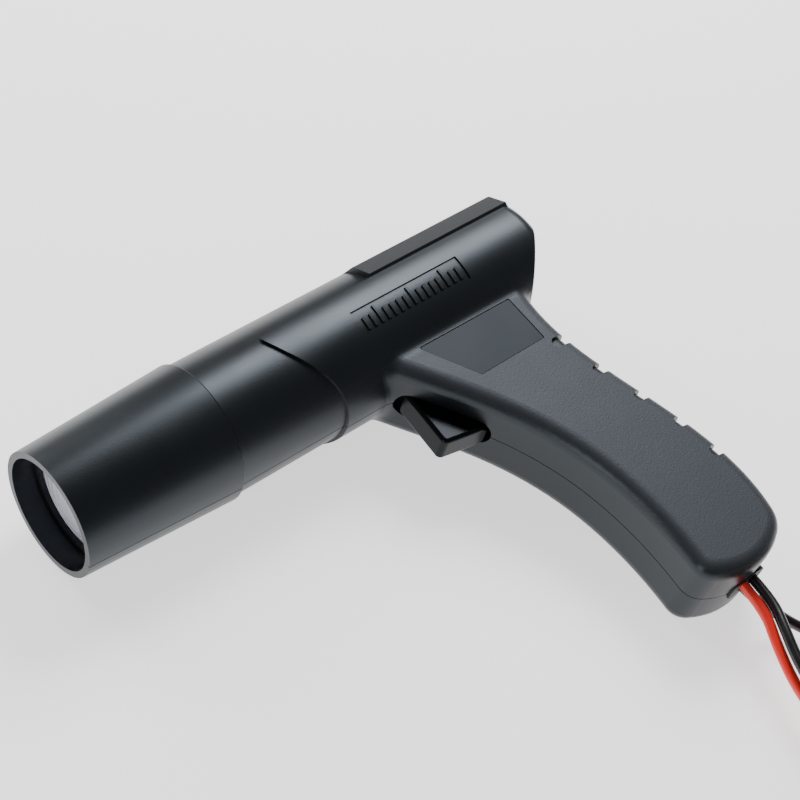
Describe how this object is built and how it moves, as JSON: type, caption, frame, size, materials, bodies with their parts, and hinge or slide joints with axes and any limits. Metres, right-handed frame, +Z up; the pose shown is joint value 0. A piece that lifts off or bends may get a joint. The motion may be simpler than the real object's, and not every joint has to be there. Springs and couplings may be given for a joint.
{
  "type": "timing light",
  "caption": "Pistol-shaped inductive timing light with a hooded lens, squeeze trigger, sighting rail, coiled leads, battery clips and a hinged pickup clamp.",
  "frame": {"origin": "middle of the gun's bounding box, on the floor it lies on; the cords and what is on them are left out", "axes": "+X runs back along the barrel from the muzzle, +Y towards the gun's top, +Z up, out of the gun's left side"},
  "size_m": [0.3075, 0.2995, 0.0502],
  "materials": {
    "case_plastic": "textured black ABS moulding",
    "trigger_plastic": "polished black ABS moulding",
    "retainer_plastic": "black moulding",
    "label_film": "smooth printed plastic film with no print",
    "lens_acrylic": "clear moulded acrylic",
    "reflector_metal": "vacuum metallised bowl",
    "ceramic": "glazed steatite",
    "tube_glass": "quartz tube",
    "laminate": "lacquered glass-fibre laminate",
    "steel": "zinc plated",
    "spring_steel": "drawn wire",
    "copper_winding": "enamelled wire",
    "ferrite": "sintered ferrite",
    "capacitor_sleeve": "shrink sleeve",
    "film_capacitor": "dipped epoxy",
    "sink_aluminium": "extruded",
    "moulding_compound": "epoxy moulding compound",
    "resistor_body": "coated",
    "bobbin_plastic": "moulded nylon",
    "switch_plastic": "moulded",
    "plunger_plastic": "moulded acetal",
    "rubber": "moulded",
    "wire_pvc": "extruded",
    "red_pvc": "extruded, soft",
    "black_pvc": "extruded, soft",
    "pickup_plastic": "glass filled nylon"
  },
  "bodies": {
    "gun": {"left_shell": "case_plastic", "right_shell": "case_plastic", "case_screws": "steel", "label_plate": "label_film", "lens": "lens_acrylic", "lens_retainer": "retainer_plastic", "reflector": "reflector_metal", "lamp_holder": "ceramic", "flash_tube": "tube_glass", "circuit_board": "laminate", "board_screws": "steel", "trigger_coil": "copper_winding", "transformer_bobbin": "bobbin_plastic", "transformer_core": "ferrite", "storage_capacitor": "capacitor_sleeve", "small_capacitors": "film_capacitor", "heat_sink": "sink_aluminium", "power_transistor": "moulding_compound", "resistors": "resistor_body", "trigger_pin": "steel", "switch_body": "switch_plastic", "plunger_spring": "spring_steel", "lead_grommet": "rubber", "inner_wires": "wire_pvc", "lamp_wires": "wire_pvc", "pickup_body": "pickup_plastic", "pickup_core": "ferrite", "pickup_pin": "steel", "pickup_spring": "spring_steel", "red_lead": "red_pvc", "red_lead_coil": "red_pvc", "black_lead": "black_pvc", "black_lead_coil": "black_pvc", "pickup_lead": "black_pvc", "pickup_lead_coil": "black_pvc", "red_clip_jaw": "steel", "red_clip_boot": "red_pvc", "red_clip_rivet": "steel", "red_clip_spring": "spring_steel", "black_clip_jaw": "steel", "black_clip_boot": "black_pvc", "black_clip_rivet": "steel", "black_clip_spring": "spring_steel"},
    "trigger_body": {"trigger": "trigger_plastic"},
    "plunger_body": {"switch_plunger": "plunger_plastic"},
    "red_clip_lever": {"red_clip_moving_jaw": "steel", "red_clip_moving_boot": "red_pvc"},
    "black_clip_lever": {"black_clip_moving_jaw": "steel", "black_clip_moving_boot": "black_pvc"},
    "pickup_lever": {"pickup_jaw": "pickup_plastic", "pickup_jaw_core": "ferrite"}
  },
  "joints": [
    {"name": "trigger_hinge", "type": "hinge", "parent": "gun", "child": "trigger_body", "pos_m": [0.0295, 0.039, 0.02394], "axis": [0, -0.054, 0.9985], "range_deg": [0, 9], "stiffness_Nm_per_rad": 0.6, "springref_deg": -11.46},
    {"name": "plunger_slide", "type": "slide", "parent": "gun", "child": "plunger_body", "axis": [1, 0, 0], "range_m": [0, 0.0048], "deforming": ["plunger_spring"]},
    {"name": "red_clip_hinge", "type": "hinge", "parent": "gun", "child": "red_clip_lever", "pos_m": [0.164, -0.202, 0.006], "axis": [0, 0, 1], "range_deg": [0, 25], "stiffness_Nm_per_rad": 0.5, "springref_deg": -17.19, "deforming": ["red_clip_spring"]},
    {"name": "black_clip_hinge", "type": "hinge", "parent": "gun", "child": "black_clip_lever", "pos_m": [0.164, -0.128, 0.006], "axis": [0, 0, 1], "range_deg": [0, 25], "stiffness_Nm_per_rad": 0.5, "springref_deg": -17.19, "deforming": ["black_clip_spring"]},
    {"name": "pickup_hinge", "type": "hinge", "parent": "gun", "child": "pickup_lever", "pos_m": [0.17, -0.166, 0.01], "axis": [0, 0, 1], "range_deg": [0, 25], "stiffness_Nm_per_rad": 0.4, "springref_deg": -17.19, "deforming": ["pickup_spring"]}
  ],
  "couplings": [
    {"joint": "plunger_slide", "follows": "trigger_hinge", "m_per_rad": 0.030557}
  ]
}
